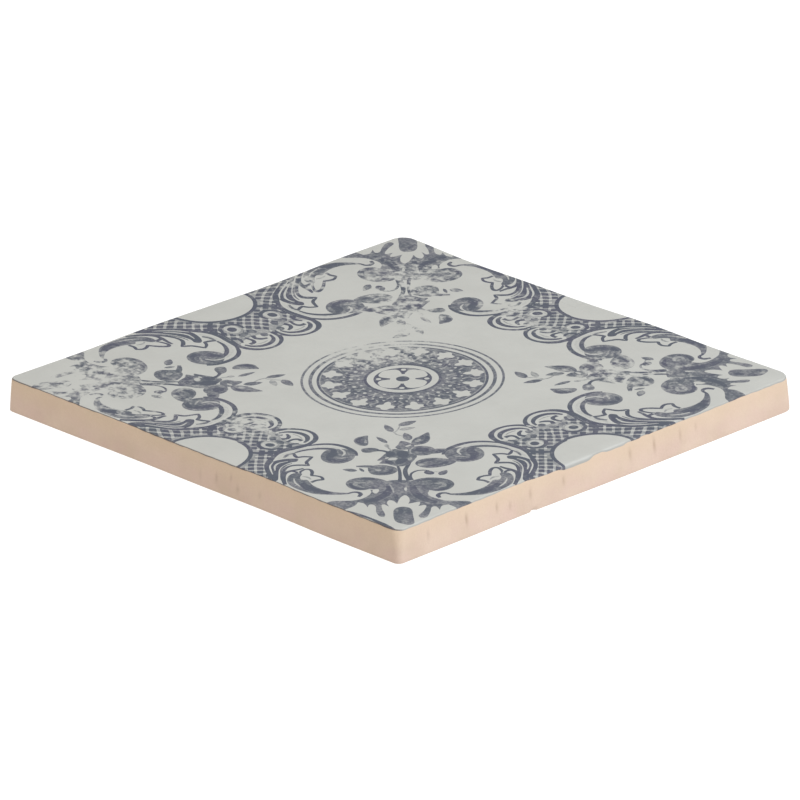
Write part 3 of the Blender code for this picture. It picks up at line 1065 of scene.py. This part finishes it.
# Where the glaze runs further or stops short: side, middle, half width, further by
RUN_SOFTNESS = 0.25
RUNS = (
    (RIGHT, -0.0075, 0.0050, 0.0006),
    (RIGHT, -0.0120, 0.0100, 0.0002),
    (RIGHT, 0.0050, 0.0034, 0.0003),
    (RIGHT, 0.0150, 0.0012, -0.0002),
    (FAR, 0.0120, 0.0080, 0.0003),
    (LEFT, -0.0260, 0.0060, 0.0003),
)

# Places where the print is worn: x and y in millimetres, radius, and what is left of the ink there
WORN_PLACES = (
    (-58, -58, 17, 0.55), (-52, -44, 8, 0.75), (-36, -54, 12, 0.62), (-5, -45, 10, 0.6), (-62, 25, 8, 0.62),
    (-43, 44, 16, 0.62), (-14, 50, 6, 0.5), (-14, 10, 12, 0.62), (-22, 2, 10, 0.65), (34, 38, 13, 0.62),
    (0, 46, 7, 0.75), (-20, 24, 8, 0.7), (-30, 28, 10, 0.7), (65, 66, 7, 0.6), (48, 46, 9, 0.9),
)


def glaze_run(out, place):
    """How far the glaze runs past the start of the roll at a place whose way out is given."""
    total = 0.0
    for side in range(4):
        way, run = facing(side)
        weight = max(0.0, way.dot(out)) ** 2
        if weight < LEAST_SHARE:
            continue
        along = run.dot(place)
        length = RUN_DOWN[side]
        for height, count in RUN_WAVES:
            length += height * math.sin(2 * math.pi * count * (along / SIDE + WAVE_OFFSET * side) + count)
        for where, middle, half, further in RUNS:
            if where == side:
                inner, outer = half * (1 - RUN_SOFTNESS), half * (1 + RUN_SOFTNESS)
                length += further * (1 - smooth_step(inner, outer, abs(along - middle)))
        total += weight * length
    return total


def beside(point):
    """The side that a point of the flat sheet is nearest, how far along that it is, how far past the start
    of the roll, and the way out there."""
    best = None
    for side in range(4):
        out, run = facing(side)
        start, end = straight(side, 1.0)
        x, y = out.dot(point), run.dot(point)
        over_x = x - (reach(side, 1.0, 1.0) - FACE_CORNER_RADII[side])
        if over_x > 0 and y > end:
            length = math.hypot(over_x, y - end)
            way = (out * over_x + run * (y - end)) / length
            return side, 1.0, length - (FACE_CORNER_RADII[side] - ARRIS_RADIUS), way
        along = min(1.0, max(0.0, (y - start) / (end - start)))
        past = x - (reach(side, along, 1.0) - ARRIS_RADIUS)
        if best is None or past > best[2]:
            best = (side, along, past, out)
    return best


def rolled(point):
    """Lays a point of the flat sheet on the tile: on the face, round the arris or down the side. Also
    says what share of the way to the glaze's edge it is."""
    point = Vector(point)
    side, along, past, out = beside(point)
    if past <= 0:
        fall = FACE_FALL * math.sin(math.pi / 2 * min(1.0, -past / FACE_FALL_WIDTH))
        return (point.x, point.y, EDGE_TOP + fall), 0.0
    start = point - out * past
    run = glaze_run(out, start)
    turn = min(past / ARRIS_RADIUS, math.pi / 2)
    lip = smooth_step(0.0, GLAZE_LIP, run - past)
    radius = ARRIS_RADIUS + GLAZE_PROUD * lip * math.sin(turn)
    z = EDGE_TOP - ARRIS_RADIUS + radius * math.cos(turn) - max(0.0, past - ARRIS_RADIUS * math.pi / 2)
    lean = 1 - lean_share(z)
    way, along_way = facing(side)
    after = reach(side + 1, 0.0, 0.0) - reach(side + 1, 0.0, 1.0)
    before = reach(side - 1, 1.0, 0.0) - reach(side - 1, 1.0, 1.0)
    here = reach(side, along, 0.0) - reach(side, along, 1.0)
    place = start + out * (radius * math.sin(turn))
    place += way * (here * lean) + along_way * ((after * along - before * (1 - along)) * lean)
    return (place.x, place.y, z), past / run


def print_strength(x, y):
    """What wear has left of the ink at a place on the face."""
    left = 1.0
    for px, py, radius, share in WORN_PLACES:
        off = ((x - px * MM) ** 2 + (y - py * MM) ** 2) / (radius * MM) ** 2
        left *= 1 - (1 - share) * math.exp(-off)
    return left


def lay_glaze():
    """The coat: a flat sheet cut along the print's outlines, then rolled onto the tile."""
    start_of_roll = rim(ARRIS_RADIUS, 1.0, COAT_SIDE_STEPS, COAT_CORNER_STEPS)
    edge = [(place, out, glaze_run(out, place)) for place, out in start_of_roll]
    sheet = [place + out * run for place, out, run in edge]
    outlines = [list(range(len(sheet)))]
    inks = [0.0]
    for outline, density in printed_shapes():
        spots = [Vector((x * MM, y * MM)) for x, y in outline]
        if all(max(abs(spot.x), abs(spot.y)) > SIDE / 2 + PRINT_REACH for spot in spots):
            continue
        turn = sum(a.x * b.y - b.x * a.y for a, b in zip(spots, spots[1:] + spots[:1]))
        if turn < 0:
            spots.reverse()
        outlines.append(list(range(len(sheet), len(sheet) + len(spots))))
        inks.append(density)
        sheet += spots
    for step in range(ROLL_RINGS):
        for place, out, run in edge[:: 1 + step % 2]:
            sheet.append(place + out * (run * step / ROLL_RINGS))
    count = int(SIDE / GRID_STEP)
    for i in range(count):
        for j in range(count):
            x = (i + 0.5 - count / 2 + GRID_STAGGER * (-1) ** j) * GRID_STEP
            y = (j + 0.5 - count / 2) * GRID_STEP
            if beside(Vector((x, y)))[2] < -GRID_STEP / 2:
                sheet.append(Vector((x, y)))
    verts, _, faces, _, _, sources = delaunay_2d_cdt(sheet, [], outlines, 1, SHEET_WELD, True)

    keep = [(face, source) for face, source in zip(faces, sources) if 0 in source]
    used = sorted({i for face, _ in keep for i in face})
    shape = bmesh.new()
    ink_layer = shape.loops.layers.float.new("ink")
    worn_layer = shape.verts.layers.float.new("strength")
    rim_layer = shape.verts.layers.float.new("rim")
    points = {}
    for i in used:
        place, share = rolled(verts[i])
        points[i] = shape.verts.new(place)
        points[i][worn_layer] = print_strength(verts[i].x, verts[i].y)
        points[i][rim_layer] = share
    for face, source in keep:
        made = shape.faces.new([points[i] for i in face])
        ink = inks[max(source)]
        for loop in made.loops:
            loop[ink_layer] = ink
    close_under(shape)
    mesh = bpy.data.meshes.new("glaze_coat")
    shape.to_mesh(mesh)
    shape.free()
    mesh.shade_smooth()
    mesh.set_sharp_from_angle(angle=COAT_SHARP_ANGLE)
    piece = bpy.data.objects.new("glaze_coat", mesh)
    bpy.context.scene.collection.objects.link(piece)
    return piece


def close_under(shape):
    """Turns the coat's edge into the clay and closes it with a flat back there, out of sight."""
    follow = {}
    for edge in shape.edges:
        if edge.is_boundary:
            loop = edge.link_loops[0]
            follow[loop.vert] = loop.link_loop_next.vert
    start = next(iter(follow))
    ring = [start]
    while follow[ring[-1]] is not start:
        ring.append(follow[ring[-1]])
    worn = shape.verts.layers.float["strength"]

    def inner(vert, depth, z):
        scale = 1 - depth / max(abs(vert.co.x), abs(vert.co.y))
        made = shape.verts.new((vert.co.x * scale, vert.co.y * scale, z))
        made[worn] = vert[worn]
        return made

    lip = [inner(vert, GLAZE_ROOT, vert.co.z) for vert in ring]
    back = [inner(vert, 2 * GLAZE_ROOT + ARRIS_RADIUS, THICKNESS - GLAZE_BACK) for vert in ring]
    for low, high in ((lip, ring), (back, lip)):
        for i in range(len(ring)):
            j = (i + 1) % len(ring)
            shape.faces.new((high[i], low[i], low[j], high[j]))
    shape.faces.new(back)
    bmesh.ops.recalc_face_normals(shape, faces=shape.faces)


def glaze_finish():
    """Pale satin glaze over a softly mottled slate print, with painted shade in a dark grey line along its
    edge, heavier on the near side.
    """
    finish = Finish("printed_glaze")
    ink = finish.node("ShaderNodeAttribute", {"attribute_name": "ink"}, output="Fac")
    strength = finish.node("ShaderNodeAttribute", {"attribute_name": "strength"}, output="Fac")
    rim_share = finish.node("ShaderNodeAttribute", {"attribute_name": "rim"}, output="Fac")
    grain = finish.noise(0.6, detail=2.0)
    mottle = finish.noise(1.8, detail=3.0, offset=31.0)
    patches = finish.noise(7.0, detail=2.0, offset=57.0)
    wear = finish.noise(2.2, detail=4.0, roughness=0.6, offset=71.0)
    hold = finish.ramp(strength * 1.5 - wear * 0.75, 0.0, 1.0)
    left = hold * (0.86 + patches * 0.14) * (0.82 + mottle * 0.18)
    amount = finish.ramp(ink * left * 1.25 - grain * 0.2, 0.0, 1.0)
    slate = finish.mix(patches, colour(86, 89, 106), colour(87, 94, 106))
    clouds = finish.noise(11.0, detail=3.0, offset=83.0)
    pale = finish.mix(clouds, colour(195, 197, 194), colour(191, 193, 190))
    tint = finish.mix(amount, pale, slate)
    # Painted shade under the glaze's lip: a dark grey line where the glaze ends on the sides, heavier on the
    # near side, away from the key lamp.
    lip_shade = finish.ramp(rim_share, 0.3, 0.8)
    along_y = finish.node("ShaderNodeSeparateXYZ", inputs={0: finish.millimetres}, output="Y")
    near_side = 1.0 - finish.ramp(along_y, -65.0, -63.0)
    tint = finish.mix(lip_shade * (0.35 + near_side * 0.5), tint, colour(100, 95, 95))
    swell = finish.noise(2.6, detail=1.0, offset=11.0)
    return finish.set(
        Base_Color=tint,
        Roughness=0.42 + mottle * 0.08 + amount * 0.05,
        Specular_IOR_Level=0.35,
        Normal=finish.bump(swell, 0.00003),
    )


coat = lay_glaze()
coat.data.materials.append(glaze_finish())
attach(coat, "root")
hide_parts("glazed_tile")

# Floor, lights and camera. A white sheet lit from below, with a large soft lamp high on the right, one
# above and a weaker warm one on the left, seen from above one corner with a long lens.
FLOOR_SIZE = 6.0
FLOOR_DROP = 0.00005
ROOM_TINT = (1.0, 0.96, 0.90, 1.0)
ROOM_STRENGTH = 0.28


def lay_floor():
    half = FLOOR_SIZE / 2
    corners = [(-half, -half, 0), (half, -half, 0), (half, half, 0), (-half, half, 0)]
    mesh = bpy.data.meshes.new("floor")
    mesh.from_pydata(corners, [], [(0, 1, 2, 3)])
    floor = bpy.data.objects.new("floor", mesh)
    bpy.context.scene.collection.objects.link(floor)
    floor.location.z = -FLOOR_DROP
    finish = Finish("lit_sheet")
    grain = finish.noise(40.0, detail=2.0)
    tint = finish.mix(grain, colour(122, 122, 121), colour(118, 118, 117))
    floor.data.materials.append(finish.set(
        Base_Color=tint,
        Roughness=0.95,
        Emission_Color=(1.0, 1.0, 1.0, 1.0),
        Emission_Strength=0.95,
    ))


def hang_lamp(name, azimuth, elevation, distance, size, power, tint):
    """A square soft lamp that faces the tile. Azimuth 0 stands at -Y and 90 at +X."""
    lamp = bpy.data.lights.new(name, "AREA")
    lamp.size = size
    lamp.energy = power
    lamp.color = tint
    thing = bpy.data.objects.new(name, lamp)
    bpy.context.scene.collection.objects.link(thing)
    a, e = math.radians(azimuth), math.radians(elevation)
    way = Vector((math.sin(a) * math.cos(e), -math.cos(a) * math.cos(e), math.sin(e)))
    thing.location = way * distance
    thing.rotation_euler = way.to_track_quat("Z", "Y").to_euler()


lay_floor()
hang_lamp("key_lamp", azimuth=105, elevation=48, distance=1.4, size=0.9, power=14.6, tint=(0.98, 1.0, 1.03))
hang_lamp("fill_lamp", azimuth=-10, elevation=40, distance=1.6, size=1.0, power=3.3, tint=(1.0, 0.78, 0.48))
hang_lamp("top_lamp", azimuth=60, elevation=85, distance=1.5, size=1.2, power=6.6, tint=(1.0, 1.0, 1.0))
world = bpy.data.worlds.new("room")
bpy.context.scene.world = world
world.use_nodes = True
world.node_tree.nodes["Background"].inputs["Color"].default_value = ROOM_TINT
world.node_tree.nodes["Background"].inputs["Strength"].default_value = ROOM_STRENGTH

# The camera as it was fitted to the tile's corners in the photo
AIM = (0.0, -0.0007, THICKNESS - 0.00415)
CAMERA_AZIMUTH = 45.0
CAMERA_ELEVATION = 22.292
CAMERA_DISTANCE = 1.8207
FOCAL_PIXELS = 7714.69
PHOTO_PIXELS = 800
CENTRE_PIXEL = (399.588, 393.984)
SENSOR = 36.0

camera = bpy.data.cameras.new("camera")
camera.sensor_width = SENSOR
camera.lens = FOCAL_PIXELS / PHOTO_PIXELS * SENSOR
camera.shift_x = (PHOTO_PIXELS / 2 - CENTRE_PIXEL[0]) / PHOTO_PIXELS
camera.shift_y = (CENTRE_PIXEL[1] - PHOTO_PIXELS / 2) / PHOTO_PIXELS
camera.clip_end = 20
view = bpy.data.objects.new("camera", camera)
bpy.context.scene.collection.objects.link(view)
bpy.context.scene.camera = view
azimuth, elevation = math.radians(CAMERA_AZIMUTH), math.radians(CAMERA_ELEVATION)
back = Vector((
    math.sin(azimuth) * math.cos(elevation),
    -math.cos(azimuth) * math.cos(elevation),
    math.sin(elevation),
))
view.location = Vector(AIM) + back * CAMERA_DISTANCE
view.rotation_euler = back.to_track_quat("Z", "Y").to_euler()
bpy.context.scene.view_settings.view_transform = "Standard"
